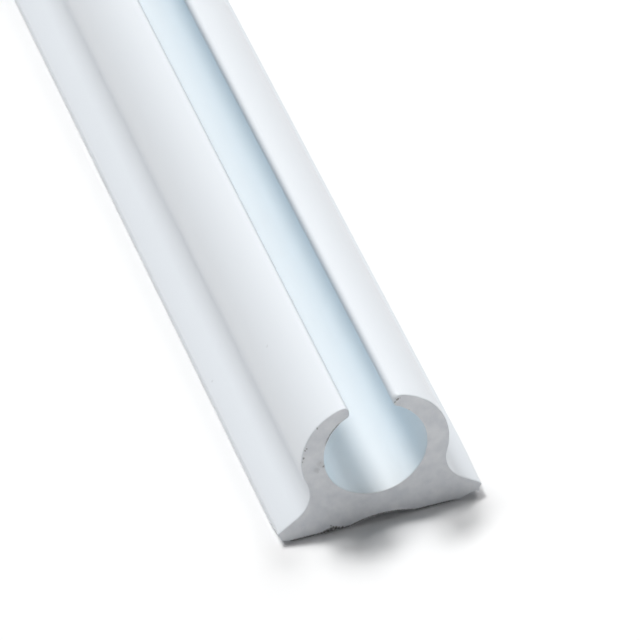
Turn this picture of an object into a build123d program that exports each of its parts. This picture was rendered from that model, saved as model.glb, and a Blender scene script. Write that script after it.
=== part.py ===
"""Awning rail: one length of white PVC extrusion, sawn square at both ends.

A round channel, open along the top, holds the round bead that is sewn or
welded along the edge of an awning. Two arms carry the channel and taper to
rounded lips. Under the channel the arms draw in to a waist and then spread
into a flat foot with thin flanges, which is bonded or screwed to a caravan.
A shallow groove in the middle of the underside takes the sealant.

Sizes are in millimetres. The rail lies along X, the foot stands on Z = 0,
and the origin is under the middle of the foot, halfway along the rail.
"""
from build123d import *
import os
from math import isclose, radians, sqrt, tan

# How the stock is cut
rail_length = 1000.0

# Channel for the bead, and the mouth that the awning's cloth leaves through
bead_bore = 7.9
mouth_width = 3.4
web_thickness = 2.6

# Arms: the outer face of each is an arc whose centre lies beside and below the
# channel's centre, so that the wall thins from the side up to the lip
side_wall = 1.8
arm_centre_shift = 1.05
arm_centre_drop = 0.1
lip_outer_round = 0.45
lip_inner_round = 0.3

# Foot: two thin flanges that slope down to blunt tips
foot_width = 16.0
tip_height = 1.0
flange_slope = 33.0
tip_top_round = 0.2
tip_bottom_round = 0.3
waist_round = 2.45

# Groove in the underside
groove_width = 5.0
groove_depth = 0.42
groove_edge_round = 1.5

# Heights and radii that follow from the sizes above
bore_radius = bead_bore / 2
bore_height = web_thickness + bore_radius
arm_radius = bore_radius + side_wall - arm_centre_shift
arm_height = bore_height - arm_centre_drop
tip_reach = foot_width / 2
ridge_height = tip_height + tip_reach * tan(radians(flange_slope))

# The square corners of a lip before it is rounded, one over the other
lip_reach = mouth_width / 2
lip_top = arm_height + sqrt(arm_radius**2 - (lip_reach - arm_centre_shift) ** 2)
lip_underside = bore_height + sqrt(bore_radius**2 - lip_reach**2)
lip_wall = lip_top - lip_underside


def corners(sketch, y, z):
    """The sketch's two corners at y to either side and z above the foot's plane."""
    return sketch.vertices().filter_by(
        lambda corner: isclose(abs(corner.X), y, abs_tol=1e-4) and isclose(corner.Y, z, abs_tol=1e-4)
    )


with BuildPart() as awning_rail:
    with BuildSketch(Plane.YZ) as section:
        # The foot is a low roof, whose slopes are the tops of the flanges
        with BuildLine():
            Polyline((0, 0), (tip_reach, 0), (tip_reach, tip_height), (0, ridge_height))
            mirror(about=Plane.YZ)
        make_face()
        fillet(corners(section, tip_reach, 0), tip_bottom_round)
        fillet(corners(section, tip_reach, tip_height), tip_top_round)

        # The arms meet the flanges at the two lowest of the new corners,
        # and a hollow waist runs from each arm into its flange
        foot_corners = section.vertices()
        with Locations((-arm_centre_shift, arm_height), (arm_centre_shift, arm_height)):
            Circle(arm_radius)
        arm_corners = section.vertices() - foot_corners
        fillet(arm_corners.sort_by(Axis.Y)[:2], waist_round)

        # The channel, its mouth and the rounded lips beside it
        with Locations((0, bore_height)):
            Circle(bore_radius, mode=Mode.SUBTRACT)
            Rectangle(mouth_width, 2 * arm_radius, align=(Align.CENTER, Align.MIN), mode=Mode.SUBTRACT)
        fillet(corners(section, lip_reach, lip_top), min(lip_outer_round, lip_wall / 2))
        fillet(corners(section, lip_reach, lip_underside), min(lip_inner_round, lip_wall / 3))

        # The sealant groove is a shallow arc with eased edges
        with BuildLine():
            ThreePointArc((-groove_width / 2, 0), (0, groove_depth), (groove_width / 2, 0))
            Line((-groove_width / 2, 0), (groove_width / 2, 0))
        make_face(mode=Mode.SUBTRACT)
        fillet(corners(section, groove_width / 2, 0), groove_edge_round)
    extrude(amount=rail_length / 2, both=True)

awning_rail.part.label = "awning_rail"

os.makedirs("parts", exist_ok=True)
export_step(awning_rail.part, "parts/awning_rail.step")

rail_box = awning_rail.part.bounding_box()
print("section area mm2:", round(awning_rail.part.volume / rail_length, 2))
print("size mm:", [round(side, 3) for side in rail_box.size])
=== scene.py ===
# %% [markdown]
# # An awning rail, dressed in Blender
#
# The object is one length of white PVC rail. A round channel runs along its top and
# holds the bead of an awning, and a flat foot carries it on a caravan. The packed
# solid gives its exact size and place. This lesson gives it a fine mesh, the finish
# of extruded plastic, the marks that the saw left on its ends, light and a camera.

# %% Load the frame
import bmesh
import bpy
import math
import random
from collections import namedtuple
from mathutils import Matrix, Vector, geometry, noise


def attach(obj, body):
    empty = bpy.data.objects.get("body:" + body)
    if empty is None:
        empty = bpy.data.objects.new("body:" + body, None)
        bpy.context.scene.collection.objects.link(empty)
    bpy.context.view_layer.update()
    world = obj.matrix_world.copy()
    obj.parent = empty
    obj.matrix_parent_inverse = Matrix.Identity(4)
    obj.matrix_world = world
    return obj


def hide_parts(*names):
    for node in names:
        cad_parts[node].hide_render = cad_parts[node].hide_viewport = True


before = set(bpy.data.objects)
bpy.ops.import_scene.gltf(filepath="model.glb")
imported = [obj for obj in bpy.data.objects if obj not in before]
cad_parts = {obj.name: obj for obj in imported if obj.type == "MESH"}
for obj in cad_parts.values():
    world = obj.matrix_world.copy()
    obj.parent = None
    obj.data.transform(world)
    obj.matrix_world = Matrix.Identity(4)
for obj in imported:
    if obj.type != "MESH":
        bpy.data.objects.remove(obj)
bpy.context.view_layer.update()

# %% [markdown]
# Blender counts in metres here and the rail is drawn in millimetres, so one named
# factor turns the one into the other. Colours are picked as sRGB hex, the way a
# paint program shows them, and one function turns them into the linear values that
# a shader works with.

# %% Units and colours
MM = 0.001


def linear(hex_colour):
    """A colour such as "#f0f2f4" as linear red, green, blue and alpha."""
    channels = [int(hex_colour[i : i + 2], 16) / 255 for i in (1, 3, 5)]
    return [c / 12.92 if c <= 0.04045 else ((c + 0.055) / 1.055) ** 2.4 for c in channels] + [1.0]


print("middle grey in linear light:", round(linear("#808080")[0], 3))

# %% [markdown]
# ## The section
#
# An extrusion is its section, pulled along a line, so the section is what has to be
# right. These are the sizes that the solid was drawn from, in millimetres. Their
# proportions were measured in the picture. Their scale is that of a usual awning
# rail, whose channel is about 8 mm wide, because the picture has no ruler in it.

# %% Sizes of the section
RAIL_LENGTH = 1000.0
BEAD_BORE = 7.9
MOUTH_WIDTH = 3.4
WEB_THICKNESS = 2.6
SIDE_WALL = 1.8
ARM_CENTRE_SHIFT = 1.05
ARM_CENTRE_DROP = 0.1
LIP_OUTER_ROUND = 0.45
LIP_INNER_ROUND = 0.3
FOOT_WIDTH = 16.0
TIP_HEIGHT = 1.0
FLANGE_SLOPE = math.radians(33.0)
TIP_TOP_ROUND = 0.2
TIP_BOTTOM_ROUND = 0.3
WAIST_ROUND = 2.45
GROOVE_WIDTH = 5.0
GROOVE_DEPTH = 0.42
GROOVE_EDGE_ROUND = 1.5

BORE_RADIUS = BEAD_BORE / 2
BORE = Vector((0, WEB_THICKNESS + BORE_RADIUS))
ARM_RADIUS = BORE_RADIUS + SIDE_WALL - ARM_CENTRE_SHIFT
ARM = Vector((ARM_CENTRE_SHIFT, BORE.y - ARM_CENTRE_DROP))
LIP_REACH = MOUTH_WIDTH / 2
TIP_REACH = FOOT_WIDTH / 2
print("channel's centre:", round(BORE.y, 2), "mm up, arms' radius:", round(ARM_RADIUS, 2), "mm")

# %% [markdown]
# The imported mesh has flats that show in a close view, because its facets are made
# for collision and not for looks. So the same section is drawn again here with short
# steps. It is a chain of arcs, each tangent to the next, and a small function gives
# the points of one arc.

# %% Points on an arc
STEP = 0.09


def arc(centre, radius, start, end):
    """Points on an arc from one angle to another, in radians, about STEP apart."""
    count = max(3, math.ceil(abs(end - start) * radius / STEP))
    turns = [start + (end - start) * i / count for i in range(count + 1)]
    return [centre + Vector((math.cos(t), math.sin(t))) * radius for t in turns]


def angle(vector):
    """The direction of a 2-D vector, in radians."""
    return math.atan2(vector.y, vector.x)


print("points round a whole channel:", len(arc(BORE, BORE_RADIUS, 0, 2 * math.pi)))

# %% [markdown]
# Each round sits where it touches both of its neighbours. That is one right triangle
# a round: the distance between two centres is the sum of the radii where the arcs
# bend apart, and the difference where one lies inside the other.

# %% Centres of the rounds
up_slope = Vector((-math.cos(FLANGE_SLOPE), math.sin(FLANGE_SLOPE)))
off_slope = Vector((math.sin(FLANGE_SLOPE), math.cos(FLANGE_SLOPE)))
tip_corner = Vector((TIP_REACH, TIP_HEIGHT))

tip_bottom = Vector((TIP_REACH - TIP_BOTTOM_ROUND, TIP_BOTTOM_ROUND))
tip_top_drop = TIP_TOP_ROUND * (1 - math.sin(FLANGE_SLOPE)) / math.cos(FLANGE_SLOPE)
tip_top = Vector((TIP_REACH - TIP_TOP_ROUND, TIP_HEIGHT - tip_top_drop))

waist_start = tip_corner + off_slope * WAIST_ROUND
from_arm = waist_start - ARM
along = from_arm.dot(up_slope)
reach = ARM_RADIUS + WAIST_ROUND
waist = waist_start + up_slope * (-along - math.sqrt(along**2 - from_arm.length_squared + reach**2))


def beside_mouth(centre, distance, round_radius):
    """Centre of a lip's round, which touches the mouth's wall and an arc about centre."""
    y = LIP_REACH + round_radius
    return Vector((y, centre.y + math.sqrt(distance**2 - (y - centre.x) ** 2)))


lip_outer = beside_mouth(ARM, ARM_RADIUS - LIP_OUTER_ROUND, LIP_OUTER_ROUND)
lip_inner = beside_mouth(BORE, BORE_RADIUS + LIP_INNER_ROUND, LIP_INNER_ROUND)

groove_radius = (GROOVE_WIDTH**2 / 4 + GROOVE_DEPTH**2) / (2 * GROOVE_DEPTH)
groove = Vector((0, GROOVE_DEPTH - groove_radius))
rise = GROOVE_EDGE_ROUND - groove.y
groove_edge = Vector((math.sqrt((groove_radius + GROOVE_EDGE_ROUND) ** 2 - rise**2), GROOVE_EDGE_ROUND))
print("waist's centre:", [round(c, 2) for c in waist], "groove's radius:", round(groove_radius, 2))

# %% [markdown]
# One half of the section is walked from the middle of the groove, out along the foot,
# up the arm, round the lip and down the channel. The other half is its mirror image.

# %% The half section and its mirror image
QUARTER = math.pi / 2
SAME_POINT = 1e-4


def straight(start, end, spacing):
    """Points between two ends, without the ends."""
    count = max(2, math.ceil((end - start).length / spacing))
    return [start.lerp(end, i / count) for i in range(1, count)]


def half_section():
    """The right half of the outline, from the groove's middle to the channel's floor."""
    points = arc(groove, groove_radius, QUARTER, angle(groove_edge - groove))
    points += arc(groove_edge, GROOVE_EDGE_ROUND, angle(groove - groove_edge), -QUARTER)
    points += straight(points[-1], Vector((tip_bottom.x, 0)), STEP)
    points += arc(tip_bottom, TIP_BOTTOM_ROUND, -QUARTER, 0)
    points += arc(tip_top, TIP_TOP_ROUND, 0, angle(off_slope))
    points += straight(points[-1], waist - off_slope * WAIST_ROUND, 4 * STEP)
    points += arc(waist, WAIST_ROUND, angle(-off_slope), angle(ARM - waist) - 2 * math.pi)
    points += arc(ARM, ARM_RADIUS, angle(waist - ARM), angle(lip_outer - ARM))
    points += arc(lip_outer, LIP_OUTER_ROUND, angle(lip_outer - ARM), math.pi)
    points += arc(lip_inner, LIP_INNER_ROUND, -math.pi, angle(BORE - lip_inner))
    points += arc(BORE, BORE_RADIUS, angle(lip_inner - BORE), -QUARTER)
    return points


def without_doubles(points):
    """The closed outline with points that coincide with the one before left out."""
    return [p for i, p in enumerate(points) if (p - points[i - 1]).length > SAME_POINT]


right = half_section()
left = [Vector((-p.x, p.y)) for p in reversed(right)]
section = without_doubles(right + left)
print("section points:", len(section), "height:", round(max(p.y for p in section), 3))

# %% [markdown]
# ## The mesh
#
# The section is repeated as rings along the rail, and neighbouring rings are joined
# by faces. Long plain stretches need few rings. Near a sawn end they stand close
# together, because that is where the edges are eased, chipped and worn. The two cut
# faces stand a little inside the drawn length, so that no mark on them sticks out.

# %% Where the rings stand
FACE_SETBACK = 0.06
END_STEPS = [0, 0.03, 0.08, 0.15, 0.23, 0.32, 0.45, 0.6, 0.85, 1.3, 1.8, 2.6, 4, 6, 9, 13, 18]
RING_SPACING = 16.0

half_length = RAIL_LENGTH / 2
face_place = half_length - FACE_SETBACK
inner_reach = half_length - END_STEPS[-1]
middle_count = math.ceil(2 * inner_reach / RING_SPACING)
ring_places = [face_place - step for step in END_STEPS]
ring_places += [inner_reach - 2 * inner_reach * i / middle_count for i in range(1, middle_count)]
ring_places += [-place for place in reversed(ring_places[: len(END_STEPS)])]
print("rings:", len(ring_places))

# %% [markdown]
# No length of rail is as true as its drawing. Each thing that was done to this one
# moves the points of a ring, and always inwards, so that the rail never outgrows its
# real size. Inwards is square to the line between a point's two neighbours.

# %% Which way is inwards
section_count = len(section)
inward = []
for i, point in enumerate(section):
    run = (section[(i + 1) % section_count] - section[i - 1]).normalized()
    inward.append(Vector((-run.y, run.x)))
print("points with a way inwards:", len(inward))

# %% [markdown]
# Plastic that leaves a die is still soft while it is pulled through its cooling
# tools, so its faces wander by a hundredth or two of a millimetre over a hand's
# breadth. The eye can't measure that, but it sees the reflections drift. The flat
# underside stays as it is, because the foot stands on it.

# %% Faces that wander
WANDER = 0.02
WANDER_LENGTH = 70.0
WANDER_WIDTH = 5.0
UNDERSIDE = 0.01


def share(wave):
    """A wave that swings between -1 and 1, as a share from 0 to 1."""
    return 0.5 + 0.5 * wave


def wandered(point, place):
    """How far a point of the section lies inside its true place, in millimetres."""
    drift = noise.noise((place / WANDER_LENGTH, point.x / WANDER_WIDTH, point.y / WANDER_WIDTH))
    return WANDER * share(drift) if point.y > UNDERSIDE else 0


print("most wander halfway along, in mm:", round(max(wandered(p, 0.0) for p in section), 3))

# %% [markdown]
# A saw cut leaves an edge that is neither sharp nor even. This one is eased as if a
# knife had wiped the burr off, by a few hundredths of a millimetre, here more and
# there less.

# %% The eased edge
EDGE_EASE = 0.06
EASE_DEPTH = 0.08
EASE_PATCH = 0.6
EASE_UNEVENNESS = 0.5

deepest_ease = EDGE_EASE * (1 + EASE_UNEVENNESS)
print("the edge is eased by at most", round(deepest_ease, 2), "mm")


def eased(point, place):
    """How far the edge is eased at a point of the section, in millimetres."""
    depth = face_place - abs(place)
    patch = noise.noise((point.x / EASE_PATCH, point.y / EASE_PATCH, place))
    return EDGE_EASE * (1 + EASE_UNEVENNESS * patch) * max(0, 1 - depth / EASE_DEPTH) ** 2


# %% [markdown]
# The near end looks roughly handled. The corner of the right lip is shaved off, the
# foot's lower edge is chewed under the left flange, and the left arm has a row of
# small nicks. The foot's two outer corners are worn round, the right one far more.
# Each is a dent about a point on or just off the outline: it goes in along the
# section's normal, and fades out to the sides and along the rail. Its reach is how
# far it spreads over the section, and its run how far it spreads along the rail. A
# fine grain makes its depth uneven, as in plastic that was torn.

# %% Chips in the near edge
Chip = namedtuple("Chip", "middle reach depth run")
CHIPS = [
    Chip(Vector((1.95, 10.72)), 0.5, 0.2, 0.3),
    Chip(Vector((-4.3, 0.0)), 0.6, 0.03, 0.4),
    Chip(Vector((-3.6, 0.0)), 0.4, 0.05, 0.3),
    Chip(Vector((-4.36, 9.83)), 0.14, 0.05, 0.2),
    Chip(Vector((-5.47, 7.98)), 0.14, 0.04, 0.2),
    Chip(Vector((-5.63, 7.38)), 0.15, 0.06, 0.25),
    Chip(Vector((7.9, -0.6)), 1.9, 0.55, 5.0),
    Chip(Vector((-8.1, -0.2)), 1.0, 0.26, 2.5),
]
CHIP_GRAIN = 0.16
CHIP_ROUGHNESS = 0.07
print("chips and worn corners:", len(CHIPS))


def chipped(point, place):
    """How far the chips go in at a point of the section, in millimetres."""
    behind = face_place - place
    cut = 0
    for chip in CHIPS:
        aside = (point - chip.middle).length / chip.reach
        if aside < 1 and behind < chip.run:
            grain = noise.noise((point.x / CHIP_GRAIN, point.y / CHIP_GRAIN, place / CHIP_GRAIN))
            depth = max(0, chip.depth + CHIP_ROUGHNESS * grain)
            cut += depth * (1 - aside**2) * (1 - behind / chip.run)
    return cut


# %% [markdown]
# A ring is the section at one place along the rail, with all that was done to it
# there: its wander, its eased edge and its chips.

# %% One ring
def ring(place):
    """The points of the ring at a place along the rail, as 3-D vectors in millimetres."""
    points = []
    for point, normal in zip(section, inward):
        move = wandered(point, place) + eased(point, place) + chipped(point, place)
        moved = point + normal * move
        points.append(Vector((place, moved.x, moved.y)))
    return points


# %% [markdown]
# The sawn faces are flat but need points inside them, because the saw's relief is
# real geometry. A Delaunay triangulation joins the outline to a jittered grid of
# points that lie inside it. The grid keeps off the outline, where its points would
# make slivers, and the jitter hides its rows and columns.

# %% Points inside the sawn face
GRID = 0.2
GRID_HEIGHT = 12.0
GRID_MARGIN = 0.6 * GRID
JITTER = 0.3
random.seed(4)


def inside(point, outline):
    """True if an upward ray from the point crosses the outline an odd number of times."""
    odd = False
    for i, b in enumerate(outline):
        a = outline[i - 1]
        if (a.x > point.x) != (b.x > point.x):
            if point.y < a.y + (b.y - a.y) * (point.x - a.x) / (b.x - a.x):
                odd = not odd
    return odd


sawn_outline = [point + normal * deepest_ease for point, normal in zip(section, inward)]
grid_points = []
for row in range(int(GRID_HEIGHT / GRID)):
    for column in range(int(FOOT_WIDTH / GRID)):
        jitter = Vector((random.uniform(-JITTER, JITTER), random.uniform(-JITTER, JITTER)))
        point = (Vector((column, row)) + jitter) * GRID - Vector((TIP_REACH, 0))
        off_outline = min((point - corner).length for corner in section)
        if off_outline > GRID_MARGIN and inside(point, sawn_outline):
            grid_points.append(point)
print("points inside a sawn face:", len(grid_points))

# %% [markdown]
# A fine-toothed saw leaves shallow grooves across the cut, a little curved because
# the blade is round. They are a few thousandths of a millimetre deep, and together
# with a soft waviness they break up the light on the face. The waviness is one slice
# through a solid noise.

# %% Relief of a sawn face
SAW_PITCH = 0.45
SAW_DEPTH = 0.006
SAW_CENTRE = Vector((-60.0, -45.0))
SAW_WAVE = 0.012
SAW_WAVE_WIDTH = 2.2
NOISE_SLICE = 7.0


def saw_relief(point):
    """How far the saw cut below the face at a point of the section, in millimetres."""
    around_blade = (point - SAW_CENTRE).length
    groove_wave = math.sin(2 * math.pi * around_blade / SAW_PITCH)
    soft_wave = noise.noise((point.x / SAW_WAVE_WIDTH, point.y / SAW_WAVE_WIDTH, NOISE_SLICE))
    return SAW_DEPTH * share(groove_wave) + SAW_WAVE * share(soft_wave)


print("deepest saw mark, in mm:", round(max(saw_relief(point) for point in grid_points), 4))

# %% [markdown]
# Each ring is joined to the next one by a band of four-sided faces. Together they
# are the skin that came out of the die.

# %% The skin between the rings
MESH_NAME = "extruded_rail"

mesh_data = bpy.data.meshes.new(MESH_NAME)
work = bmesh.new()
rings = [[work.verts.new(p * MM) for p in ring(place)] for place in ring_places]
for ahead, behind in zip(rings, rings[1:]):
    for i in range(section_count):
        work.faces.new((ahead[i - 1], ahead[i], behind[i], behind[i - 1]))
print("faces of the skin:", len(work.faces))

# %% [markdown]
# Two sawn faces close the mesh. The points on their rim belong to an end ring, and
# the ones inside are new and carry the saw's relief. The triangles between them take
# the second material, because the saw went through the skin and bared the plastic.

# %% The sawn faces
SAWN_SLOT = 1
INSIDE_OUTLINE = 1
SAME_PLACE = 1e-6


def close_end(end_ring, place, facing):
    """Fills a sawn end with triangles between its ring and the points inside it."""
    outline = [Vector((v.co.y, v.co.z)) / MM for v in end_ring]
    flat = outline + grid_points
    edges = [((i - 1) % section_count, i) for i in range(section_count)]
    filled = geometry.delaunay_2d_cdt(flat, edges, [], INSIDE_OUTLINE, SAME_PLACE)
    new_flat, _, triangles, origins, _, _ = filled
    corners = []
    for point, origin in zip(new_flat, origins):
        if origin and origin[0] < section_count:
            corners.append(end_ring[origin[0]])
        else:
            x = place - facing * saw_relief(point)
            corners.append(work.verts.new(Vector((x, point.x, point.y)) * MM))
    for triangle in triangles:
        order = triangle if facing > 0 else reversed(triangle)
        face = work.faces.new([corners[i] for i in order])
        face.material_index = SAWN_SLOT


close_end(rings[0], ring_places[0], 1)
close_end(rings[-1], ring_places[-1], -1)
spare = [corner for corner in work.verts if not corner.link_faces]
bmesh.ops.delete(work, geom=spare, context="VERTS")
bmesh.ops.recalc_face_normals(work, faces=work.faces)
print("faces with both ends:", len(work.faces))
work.to_mesh(mesh_data)
work.free()

# %% [markdown]
# Smooth shading makes the short steps read as true arcs. The edges of the cut stay
# crisp, because the faces on both sides of them meet at a sharp angle. The mesh then
# takes the place of the solid's own, and moves with the same body.

# %% The rail as an object
SHARP_ANGLE = math.radians(28)

rail = bpy.data.objects.new(MESH_NAME, mesh_data)
bpy.context.scene.collection.objects.link(rail)
for polygon in mesh_data.polygons:
    polygon.use_smooth = True
mesh_data.set_sharp_from_angle(angle=SHARP_ANGLE)
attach(rail, "root")
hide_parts("awning_rail")
print("triangles:", sum(len(polygon.vertices) - 2 for polygon in mesh_data.polygons))

# %% [markdown]
# ## The finishes
#
# One small function adds a node, gives it its settings and joins its sockets. A
# socket takes a plain value, or the output of another node.

# %% Add a node
def add_node(tree, kind, sockets=None, **settings):
    """Adds a node with its settings, and fills or links its input sockets."""
    node = tree.nodes.new(kind)
    for name, value in settings.items():
        setattr(node, name, value)
    for name, value in (sockets or {}).items():
        if isinstance(value, bpy.types.NodeSocket):
            tree.links.new(value, node.inputs[name])
        else:
            node.inputs[name].default_value = value
    return node


def new_material(name):
    """An empty node material and its shader, which is joined to the output."""
    material = bpy.data.materials.new(name)
    material.use_nodes = True
    tree = material.node_tree
    tree.nodes.clear()
    output = add_node(tree, "ShaderNodeOutputMaterial")
    shader = add_node(tree, "ShaderNodeBsdfPrincipled")
    tree.links.new(shader.outputs["BSDF"], output.inputs["Surface"])
    return material, tree, shader


# %% [markdown]
# Patterns are placed by the object's own coordinates, turned to millimetres. A scale
# for each axis stretches a pattern along the rail, or flattens it onto the section.

# %% Coordinates and spots in millimetres
def millimetres(tree, scale=(1, 1, 1)):
    """The place on the object in millimetres, multiplied along each axis by a scale."""
    place = add_node(tree, "ShaderNodeTexCoord")
    sockets = {0: place.outputs["Object"], 1: [factor / MM for factor in scale]}
    return add_node(tree, "ShaderNodeVectorMath", sockets, operation="MULTIPLY").outputs["Vector"]


def spot(tree, place, middle, radius, edge, strength=1.0):
    """The strength inside a ball about a point and 0 outside it, with a soft edge."""
    away = add_node(tree, "ShaderNodeVectorMath", {0: place, 1: middle}, operation="DISTANCE")
    sockets = {
        "Value": away.outputs["Value"],
        "From Min": radius - edge,
        "From Max": radius + edge,
        "To Min": strength,
        "To Max": 0.0,
    }
    ball = add_node(tree, "ShaderNodeMapRange", sockets, interpolation_type="SMOOTHSTEP")
    return ball.outputs["Result"]


# %% [markdown]
# ### Dirt and painted shade on the near end
#
# The cut looks used, and never cleaned. Dark specks sit in the nicks along the left
# arm, a grey smudge lies inside it, and brown grime fills the chewed edge of the foot
# and the shaved lip. Each mark is a small ball on the face, and a noise as fine as
# the marks shakes its outline so that none of them is round.
# A mark on the face is written as its place across, its height and its radius, and
# a fleck on the skin as its place along, its place across and its height.

# %% Marks of dirt
SPECKS = [
    (-4.27, 9.78, 0.09), (-5.2, 8.36, 0.05), (-5.19, 8.17, 0.08), (-5.33, 8.02, 0.08),
    (-5.51, 7.38, 0.1), (-5.58, 7.05, 0.08), (-4.95, 7.97, 0.05), (-4.05, 6.19, 0.1),
    (-4.27, 6.56, 0.06), (2.79, 9.42, 0.06), (-3.96, 0.56, 0.09),
]
LIP_GRIME = [
    (1.76, 10.4, 0.09), (1.86, 10.48, 0.07), (1.98, 10.58, 0.08), (2.09, 10.66, 0.09),
    (2.22, 10.7, 0.07),
]
FOOT_GRIME = [
    (-4.75, 0.06, 0.13), (-4.49, 0.1, 0.16), (-4.25, 0.15, 0.19), (-3.98, 0.22, 0.19),
    (-3.82, 0.34, 0.13), (-3.62, 0.22, 0.18), (-3.4, 0.14, 0.15), (-3.1, 0.12, 0.13),
    (-2.8, 0.12, 0.1),
]
SMUDGES = [(-4.28, 6.5, 0.26), (-4.12, 6.25, 0.2), (-4.6, 6.0, 0.22), (-4.55, 5.8, 0.12)]
SKIN_FLECKS = [(480.4, -7.5, 1.35), (472.2, -3.55, 3.9), (488.3, -4.7, 9.4)]
FLECK_RADIUS = 0.1
FLECK_EDGE = 0.07
MARK_EDGE = 0.6
SPECK_STRENGTH = 0.8
GRIME_STRENGTH = 0.95
SMUDGE_STRENGTH = 0.16
FLECK_STRENGTH = 0.14
# This dark colour serves the dirt marks and also the painted shade of the two lines below.
DIRT_AND_SHADE_COLOUR = "#38332d"
SHAKE_GRAIN = 0.1
SHAKE = 0.14
mark_count = len(SPECKS + LIP_GRIME + FOOT_GRIME + SMUDGES + SKIN_FLECKS)
print("marks of dirt:", mark_count)

# %% [markdown]
# Two dark lines follow the outline of the cut. One runs beside the inner edge of the
# left arm, and is drawn as the shade of a burr that was bent over, painted into the
# colour. The other is painted shade where the foot's lower edge meets the table, with
# grime on that edge as well. Both follow a circle of the section, the first that of the
# channel and the second that of the sealant groove, so a line is a range of distances
# from a circle, cut short by a large spot.

# %% How a line is drawn
def off_circle(tree, place, centre, radius):
    """How far a place lies outside a circle of the section, in millimetres."""
    flat = add_node(tree, "ShaderNodeVectorMath", {0: place, 1: (0, 1, 1)}, operation="MULTIPLY")
    sockets = {0: flat.outputs["Vector"], 1: (0, centre.x, centre.y)}
    away = add_node(tree, "ShaderNodeVectorMath", sockets, operation="DISTANCE")
    sockets = {0: away.outputs["Value"], 1: radius}
    return add_node(tree, "ShaderNodeMath", sockets, operation="SUBTRACT").outputs["Value"]


def line_mark(tree, off, width, stretch, strength):
    """A line where a distance is near 0, as strong as its stretch lets it be."""
    sockets = {"Value": off, "From Max": width, "To Min": strength, "To Max": 0.0}
    line = add_node(tree, "ShaderNodeMapRange", sockets, interpolation_type="SMOOTHSTEP")
    sockets = {0: line.outputs["Result"], 1: stretch}
    return add_node(tree, "ShaderNodeMath", sockets, operation="MULTIPLY").outputs["Value"]


# %% [markdown]
# The burr's line is short and runs just outside the channel. The foot's line is as
# thin as a thread and nearly as long as the foot is wide. On the flat parts of the
# foot it follows the height instead of the groove, whichever is nearer.

# %% The burr's line and the foot's
BURR_MIDDLE = (half_length, -3.12, 8.95)
BURR_REACH = 0.95
BURR_FADE = 0.3
BURR_RADIUS = BORE_RADIUS + 0.12
BURR_WIDTH = 0.1
BURR_STRENGTH = 0.6
# The foot's line is painted shade where the foot meets the table, with grime in it.
THREAD_MIDDLE = (half_length, -0.9, 0.0)
THREAD_REACH = 6.5
THREAD_FADE = 0.6
THREAD_WIDTH = 0.17
THREAD_STRENGTH = 0.9


def burr_line(tree, place):
    """The dark line beside the burr, from 0 to its strength."""
    off = off_circle(tree, place, BORE, BURR_RADIUS)
    side = add_node(tree, "ShaderNodeMath", {0: off}, operation="ABSOLUTE")
    stretch = spot(tree, place, BURR_MIDDLE, BURR_REACH, BURR_FADE)
    return line_mark(tree, side.outputs["Value"], BURR_WIDTH, stretch, BURR_STRENGTH)


def foot_shade_and_grime(tree, place):
    """Painted contact shade and grime on the foot's eased lower edge, rising where the sealant groove
    is.
    """
    off = off_circle(tree, place, groove, groove_radius + EDGE_EASE)
    height = add_node(tree, "ShaderNodeSeparateXYZ", {"Vector": place})
    sockets = {0: height.outputs["Z"], 1: EDGE_EASE}
    lift = add_node(tree, "ShaderNodeMath", sockets, operation="SUBTRACT")
    sockets = {0: off, 1: lift.outputs["Value"]}
    above = add_node(tree, "ShaderNodeMath", sockets, operation="MINIMUM")
    stretch = spot(tree, place, THREAD_MIDDLE, THREAD_REACH, THREAD_FADE)
    return line_mark(tree, above.outputs["Value"], THREAD_WIDTH, stretch, THREAD_STRENGTH)


# %% [markdown]
# Where marks overlap the strongest one counts, so that they don't add up to black.
# Every finish takes the marks of dirt, and the sawn one takes the two lines as well:
# the burr's of painted shade, and the foot's of painted shade and grime. Dirt and
# painted shade hide the plastic's colour and leave its gloss. A Mix node has sockets
# for each kind of data, and its two colours are numbers 6 and 7 and its mixed colour
# output 2.

# %% All the dirt and painted shade together
FIRST_COLOUR = 6
SECOND_COLOUR = 7
MIXED_COLOUR = 2


def dirt_and_shade(tree, lines):
    """How far dirt and painted shade hide the plastic, from 0 to 1."""
    place = millimetres(tree)
    sockets = {"Vector": place, "Scale": 1 / SHAKE_GRAIN, "Detail": 1.0}
    shake = add_node(tree, "ShaderNodeTexNoise", sockets)
    sockets = {0: shake.outputs["Color"], 1: (0.5, 0.5, 0.5)}
    off_centre = add_node(tree, "ShaderNodeVectorMath", sockets, operation="SUBTRACT")
    sockets = {0: off_centre.outputs["Vector"], 1: (SHAKE, SHAKE, SHAKE), 2: place}
    shaken = add_node(tree, "ShaderNodeVectorMath", sockets, operation="MULTIPLY_ADD")
    ragged = shaken.outputs["Vector"]
    marks = [(y, z, radius, SPECK_STRENGTH) for y, z, radius in SPECKS]
    marks += [(y, z, radius, GRIME_STRENGTH) for y, z, radius in LIP_GRIME + FOOT_GRIME]
    marks += [(y, z, radius, SMUDGE_STRENGTH) for y, z, radius in SMUDGES]
    layers = [line(tree, ragged) for line in lines]
    for y, z, radius, strength in marks:
        middle = (half_length, y, z)
        layers.append(spot(tree, ragged, middle, radius, MARK_EDGE * radius, strength))
    for fleck in SKIN_FLECKS:
        layers.append(spot(tree, ragged, fleck, FLECK_RADIUS, FLECK_EDGE, FLECK_STRENGTH))
    dark = layers[0]
    for layer in layers[1:]:
        darker = add_node(tree, "ShaderNodeMath", {0: dark, 1: layer}, operation="MAXIMUM")
        dark = darker.outputs["Value"]
    return dark


def with_dirt_and_shade(tree, clean, lines=()):
    """The clean colour, and the dark colour of dirt and painted shade where there is any."""
    sockets = {"Factor": dirt_and_shade(tree, lines), FIRST_COLOUR: clean, SECOND_COLOUR: linear(DIRT_AND_SHADE_COLOUR)}
    return add_node(tree, "ShaderNodeMix", sockets, data_type="RGBA").outputs[MIXED_COLOUR]


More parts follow.
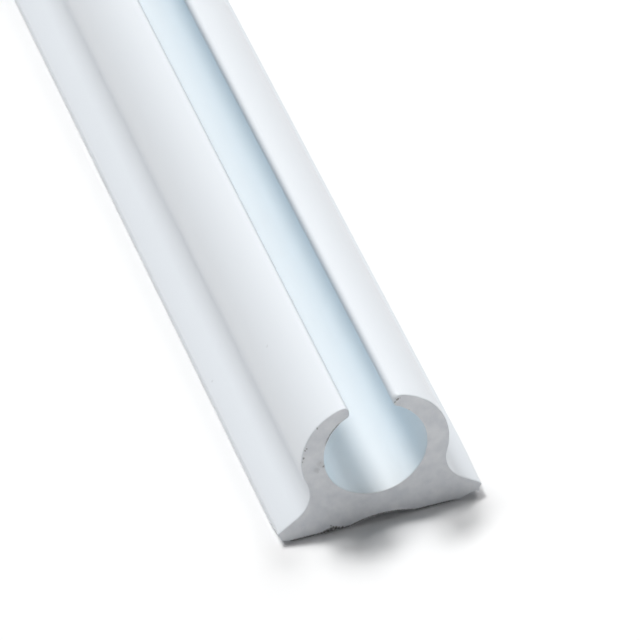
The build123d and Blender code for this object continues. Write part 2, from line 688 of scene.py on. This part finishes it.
# %% [markdown]
# ### Extruded PVC
#
# Rigid PVC is the usual plastic for white rail of this kind, here with a cool cast in
# its white. It is pushed through a polished steel die and pulled along, which leaves
# a satin skin with faint lines along the rail and a slight orange peel. PVC has an
# index of refraction of about 1.53, and its white drifts a little from patch to patch.

# %% The white of the skin
PVC_WHITE = "#ecf1f6"
PVC_SHADE = "#e8edf2"
PATCH_WIDTH = 4.0
PATCH_LENGTH = 60.0
PVC_IOR = 1.53

pvc, tree, shader = new_material("extruded_pvc")
patch_place = millimetres(tree, (1 / PATCH_LENGTH, 1 / PATCH_WIDTH, 1 / PATCH_WIDTH))
patches = add_node(tree, "ShaderNodeTexNoise", {"Vector": patch_place, "Scale": 1.0})
tint = add_node(tree, "ShaderNodeValToRGB", {"Fac": patches.outputs["Fac"]})
tint.color_ramp.elements[0].color = linear(PVC_SHADE)
tint.color_ramp.elements[1].color = linear(PVC_WHITE)
print("patches of white:", PATCH_LENGTH, "mm along and", PATCH_WIDTH, "mm across")

# %% [markdown]
# The channel looks bluer than the outside, most of all on its walls under the lips,
# where light has bounced off the tinted plastic several times. The lamps alone don't
# give that much blue here, so it is painted on. Its colour goes from floor to wall
# with the height, and is set lighter than the outside's to match how bright the
# channel looks.

# %% The bluer channel
CHANNEL_FLOOR = "#f8fcfe"
CHANNEL_WALL = "#e9f6fe"
WALL_START = 2.9
WALL_END = 4.6
CHANNEL_EDGE = 0.25

height = add_node(tree, "ShaderNodeSeparateXYZ", {"Vector": millimetres(tree)})
sockets = {"Value": height.outputs["Z"], "From Min": WALL_START, "From Max": WALL_END}
up_the_wall = add_node(tree, "ShaderNodeMapRange", sockets)
sockets = {
    "Factor": up_the_wall.outputs["Result"],
    FIRST_COLOUR: linear(CHANNEL_FLOOR),
    SECOND_COLOUR: linear(CHANNEL_WALL),
}
channel_tint = add_node(tree, "ShaderNodeMix", sockets, data_type="RGBA")
on_section = millimetres(tree, (0, 1, 1))
in_channel = spot(tree, on_section, (0, BORE.x, BORE.y), BORE_RADIUS + CHANNEL_EDGE, CHANNEL_EDGE)
sockets = {
    "Factor": in_channel,
    FIRST_COLOUR: tint.outputs["Color"],
    SECOND_COLOUR: channel_tint.outputs[MIXED_COLOUR],
}
skin_tint = add_node(tree, "ShaderNodeMix", sockets, data_type="RGBA")
print("the tint goes from floor to wall between", WALL_START, "and", WALL_END, "mm up")

# %% [markdown]
# The skin's relief is far too shallow for geometry, so two bumps draw it. Small
# scratches in the die leave lines as long as the rail, and the cooling plastic
# puckers into a slight orange peel. The lines are a little glossier and duller too.
# Real die lines are finer than these, which are as coarse as they need to be to show.

# %% Lines of the die and orange peel
DIE_LINE_WIDTH = 0.22
DIE_LINE_LENGTH = 400.0
DIE_LINE_HEIGHT = 0.002
PEEL_WIDTH = 0.7
PEEL_HEIGHT = 0.0012
NOISE_LOW = 0.3
NOISE_HIGH = 0.7
GLOSSY_LINE = 0.30
DULL_LINE = 0.38

line_place = millimetres(tree, (1 / DIE_LINE_LENGTH, 1 / DIE_LINE_WIDTH, 1 / DIE_LINE_WIDTH))
die_lines = add_node(tree, "ShaderNodeTexNoise", {"Vector": line_place, "Scale": 1.0})
sockets = {"Height": die_lines.outputs["Fac"], "Distance": DIE_LINE_HEIGHT * MM, "Strength": 1.0}
line_bump = add_node(tree, "ShaderNodeBump", sockets)
sockets = {"Vector": millimetres(tree), "Scale": 1 / PEEL_WIDTH, "Detail": 1.0}
peel = add_node(tree, "ShaderNodeTexNoise", sockets)
sockets = {
    "Height": peel.outputs["Fac"],
    "Distance": PEEL_HEIGHT * MM,
    "Strength": 1.0,
    "Normal": line_bump.outputs["Normal"],
}
skin_bump = add_node(tree, "ShaderNodeBump", sockets)
sockets = {
    "Value": die_lines.outputs["Fac"],
    "From Min": NOISE_LOW,
    "From Max": NOISE_HIGH,
    "To Min": GLOSSY_LINE,
    "To Max": DULL_LINE,
}
gloss = add_node(tree, "ShaderNodeMapRange", sockets)
marked = with_dirt_and_shade(tree, skin_tint.outputs[MIXED_COLOUR])
tree.links.new(marked, shader.inputs["Base Color"])
tree.links.new(gloss.outputs["Result"], shader.inputs["Roughness"])
tree.links.new(skin_bump.outputs["Normal"], shader.inputs["Normal"])
shader.inputs["IOR"].default_value = PVC_IOR
mesh_data.materials.append(pvc)
print("nodes in the skin's material:", len(tree.nodes))

# %% [markdown]
# ### Sawn PVC
#
# The same plastic where the saw went through. It has no skin, so it is rougher, and
# it shows the grain of the cut as a soft mottle.

# %% Finish of the sawn ends
SAWN_WHITE = "#f5f8fc"
SAWN_SHADE = "#e6eaf0"
MOTTLE_WIDTH = 0.9
SAW_GRAIN_WIDTH = 0.12
SAW_GRAIN_HEIGHT = 0.006
SAWN_ROUGHNESS = 0.55

sawn, tree, shader = new_material("sawn_pvc")
place = millimetres(tree)
sockets = {"Vector": place, "Scale": 1 / MOTTLE_WIDTH, "Detail": 4.0}
mottle = add_node(tree, "ShaderNodeTexNoise", sockets)
tint = add_node(tree, "ShaderNodeValToRGB", {"Fac": mottle.outputs["Fac"]})
tint.color_ramp.elements[0].color = linear(SAWN_SHADE)
tint.color_ramp.elements[0].position = NOISE_LOW
tint.color_ramp.elements[1].color = linear(SAWN_WHITE)
tint.color_ramp.elements[1].position = NOISE_HIGH
grain = add_node(tree, "ShaderNodeTexNoise", {"Vector": place, "Scale": 1 / SAW_GRAIN_WIDTH})
sockets = {"Height": grain.outputs["Fac"], "Distance": SAW_GRAIN_HEIGHT * MM, "Strength": 1.0}
grain_bump = add_node(tree, "ShaderNodeBump", sockets)
# The sawn face also takes the burr's painted shade and the foot's painted contact shade and grime.
marked = with_dirt_and_shade(tree, tint.outputs["Color"], (burr_line, foot_shade_and_grime))
tree.links.new(marked, shader.inputs["Base Color"])
tree.links.new(grain_bump.outputs["Normal"], shader.inputs["Normal"])
shader.inputs["Roughness"].default_value = SAWN_ROUGHNESS
shader.inputs["IOR"].default_value = PVC_IOR
mesh_data.materials.append(sawn)
print("nodes in the sawn material:", len(tree.nodes))

# %% [markdown]
# ## The table
#
# The rail lies on a plain white table, made here as a sheet of matt paper. A rail is
# never quite straight, so the table is drawn a few hundredths of a millimetre below
# the foot, and that gap makes the dark line under it. The table is white to the camera
# and in reflections, but throws less light back up, as a table in a studio does that
# ends outside the picture. The kind of a ray tells the two cases apart.

# %% What a ray meets
def by_ray(tree, lighting, seen):
    """One value for rays that carry light about, and one for the camera's and glossy ones."""
    rays = add_node(tree, "ShaderNodeLightPath")
    sockets = {0: rays.outputs["Is Camera Ray"], 1: rays.outputs["Is Glossy Ray"]}
    is_seen = add_node(tree, "ShaderNodeMath", sockets, operation="MAXIMUM")
    sockets = {"Value": is_seen.outputs["Value"], "To Min": lighting, "To Max": seen}
    return add_node(tree, "ShaderNodeMapRange", sockets).outputs["Result"]


# %% Floor
FLOOR_GAP = 0.05
FLOOR_SIZE = 60000.0
FLOOR_SEEN = 1.0
FLOOR_BOUNCE = 0.9
PAPER_ROUGHNESS = 0.9

bpy.ops.mesh.primitive_plane_add(size=FLOOR_SIZE * MM, location=(0, 0, -FLOOR_GAP * MM))
floor = bpy.context.object
floor.name = "table"
paper, tree, shader = new_material("white_paper")
tree.links.new(by_ray(tree, FLOOR_BOUNCE, FLOOR_SEEN), shader.inputs["Base Color"])
shader.inputs["Roughness"].default_value = PAPER_ROUGHNESS
shader.inputs["Specular IOR Level"].default_value = 0.0
floor.data.materials.append(paper)
print("table at", -FLOOR_GAP, "mm")

# %% [markdown]
# ## The light
#
# The rail looks lit from above by large soft lamps, and its channel tells where they
# stood. The main one is bright on the channel's floor, so it shone down through the
# narrow mouth: it hangs nearly overhead, and leans towards the far end and the left.
# It also leaves the sawn face in shade and throws a short shadow towards the camera.
# Five weaker lamps open up the sides. Sun lamps with a wide disc act like softboxes
# far away, and light the whole metre of rail evenly.

# %% Lamps
def softbox(name, lean, bearing, disc, level):
    """A sun lamp with a wide disc, which leans off the vertical towards a bearing from +X.

    All angles are in degrees. The function gives back the lamp's share of the light
    on the table.
    """
    lamp = bpy.data.lights.new(name, "SUN")
    lamp.energy = level * math.pi
    lamp.angle = math.radians(disc)
    holder = bpy.data.objects.new(name, lamp)
    towards = Matrix.Rotation(math.radians(bearing), 3, "Z") @ Vector((1, 0, 0))
    to_lamp = towards * math.sin(math.radians(lean)) + Vector((0, 0, math.cos(math.radians(lean))))
    holder.rotation_euler = (-to_lamp).to_track_quat("-Z", "Y").to_euler()
    bpy.context.scene.collection.objects.link(holder)
    return level * to_lamp.z


on_table = sum([
    softbox("overhead_softbox", 25, 209, 14, 0.45),
    softbox("far_softbox", 29, 185, 14, 0.21),
    softbox("left_softbox", 30, 240, 14, 0.18),
    softbox("right_softbox", 30, 125, 14, 0.145),
    softbox("far_right_softbox", 50, 135, 30, 0.145),
    softbox("front_softbox", 60, 45, 60, 0.08),
])
print("light on the table, where 1 is plain white:", round(on_table, 3))

# %% [markdown]
# The room itself is dark to the plastic and white to the camera and to gloss, so that
# the satin skin reflects a plain white studio. The Standard view shows each colour as
# it was picked, without the soft highlights of a film look.

# %% Room
ROOM_WHITE = "#ffffff"
ROOM_FILL = 0.02
ROOM_SEEN = 1.0

room = bpy.data.worlds.new("pale_room")
bpy.context.scene.world = room
room.use_nodes = True
tree = room.node_tree
tree.nodes.clear()
sockets = {"Color": linear(ROOM_WHITE), "Strength": by_ray(tree, ROOM_FILL, ROOM_SEEN)}
sky = add_node(tree, "ShaderNodeBackground", sockets)
output = add_node(tree, "ShaderNodeOutputWorld")
tree.links.new(sky.outputs["Background"], output.inputs["Surface"])
bpy.context.scene.view_settings.view_transform = "Standard"
print("light that the room adds:", ROOM_FILL)

# %% [markdown]
# ## The camera
#
# The picture looks taken with a long lens, down the rail from a little to its left
# and tilted a few degrees. The camera looks at a point in the channel just behind the
# sawn end. Its angles and distance were fitted to the rail's long edges and to its
# sawn end. The clip distances are in metres.

# %% Camera
LENS = 450.0
SENSOR = 36.0
VIEW_TARGET = Vector((482.95, 0.78, 6.5))
VIEW_DISTANCE = 604.8
VIEW_DOWN = math.radians(36.657)
VIEW_ASIDE = math.radians(13.157)
VIEW_ROLL = math.radians(-5.884)
NEAR_CLIP = 0.05
FAR_CLIP = 100.0

back = Vector((
    math.cos(VIEW_DOWN) * math.cos(VIEW_ASIDE),
    -math.cos(VIEW_DOWN) * math.sin(VIEW_ASIDE),
    math.sin(VIEW_DOWN),
))
lens = bpy.data.cameras.new("long_lens")
lens.lens = LENS
lens.sensor_width = SENSOR
lens.clip_start = NEAR_CLIP
lens.clip_end = FAR_CLIP
camera = bpy.data.objects.new("camera", lens)
bpy.context.scene.collection.objects.link(camera)
camera.rotation_mode = "QUATERNION"
turn = (-back).to_track_quat("-Z", "Y") @ Matrix.Rotation(VIEW_ROLL, 3, "Z").to_quaternion()
camera.rotation_quaternion = turn
camera.location = (VIEW_TARGET + back * VIEW_DISTANCE) * MM
bpy.context.scene.camera = camera
print("camera at, in mm:", [round(c / MM, 1) for c in camera.location])
